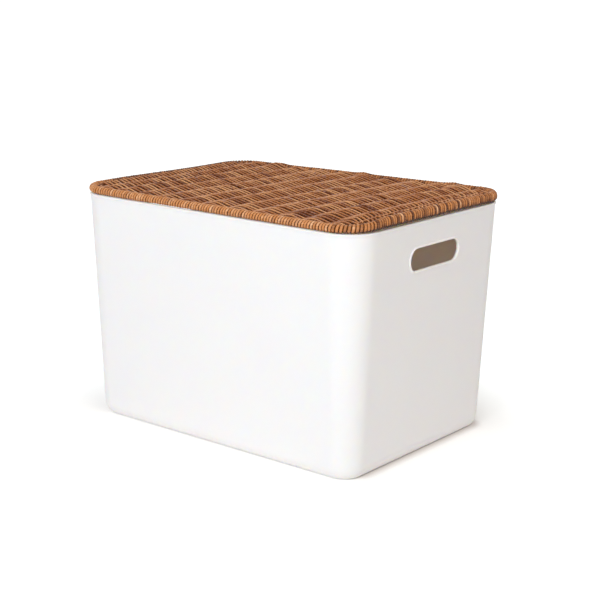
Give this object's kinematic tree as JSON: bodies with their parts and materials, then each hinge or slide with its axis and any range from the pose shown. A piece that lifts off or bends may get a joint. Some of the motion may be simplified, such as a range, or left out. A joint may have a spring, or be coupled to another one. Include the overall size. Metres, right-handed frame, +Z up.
{
  "type": "storage box with woven lid",
  "caption": "Deep tapered plastic storage box with a hand slot in each short end and a loose flat lid of woven rattan that lies on its rim.",
  "frame": {"origin": "middle of the base, on the surface that the box stands on", "axes": "+X along the length towards one hand slot, +Y across the width towards the back, +Z up through the lid"},
  "size_m": [0.3621, 0.2627, 0.2495],
  "materials": {
    "white_plastic": "fine satin moulding",
    "rattan_strand": "smoked rattan core, lightly waxed",
    "rattan_rod": "smoked rattan rod"
  },
  "bodies": {
    "tub_body": {"tub": "white_plastic"},
    "lid_body": {"lid_border_pole": "rattan_rod", "lid_border_wrap": "rattan_strand", "lid_cross_pole_01": "rattan_rod", "lid_cross_pole_02": "rattan_rod", "lid_cross_pole_03": "rattan_rod", "lid_stake_01": "rattan_rod", "lid_stake_02": "rattan_rod", "lid_stake_03": "rattan_rod", "lid_stake_04": "rattan_rod", "lid_stake_05": "rattan_rod", "lid_stake_06": "rattan_rod", "lid_stake_07": "rattan_rod", "lid_stake_08": "rattan_rod", "lid_edge_stake_left": "rattan_rod", "lid_edge_stake_right": "rattan_rod", "lid_weaver_01": "rattan_strand", "lid_weaver_02": "rattan_strand", "lid_weaver_03": "rattan_strand", "lid_weaver_04": "rattan_strand", "lid_weaver_05": "rattan_strand", "lid_weaver_06": "rattan_strand", "lid_weaver_07": "rattan_strand", "lid_weaver_08": "rattan_strand", "lid_weaver_09": "rattan_strand", "lid_weaver_10": "rattan_strand", "lid_weaver_11": "rattan_strand", "lid_weaver_12": "rattan_strand"}
  },
  "joints": [
    {"name": "lid_lift", "type": "slide", "parent": "tub_body", "child": "lid_body", "axis": [0, 0, 1], "range_m": [0, 0.15]}
  ]
}
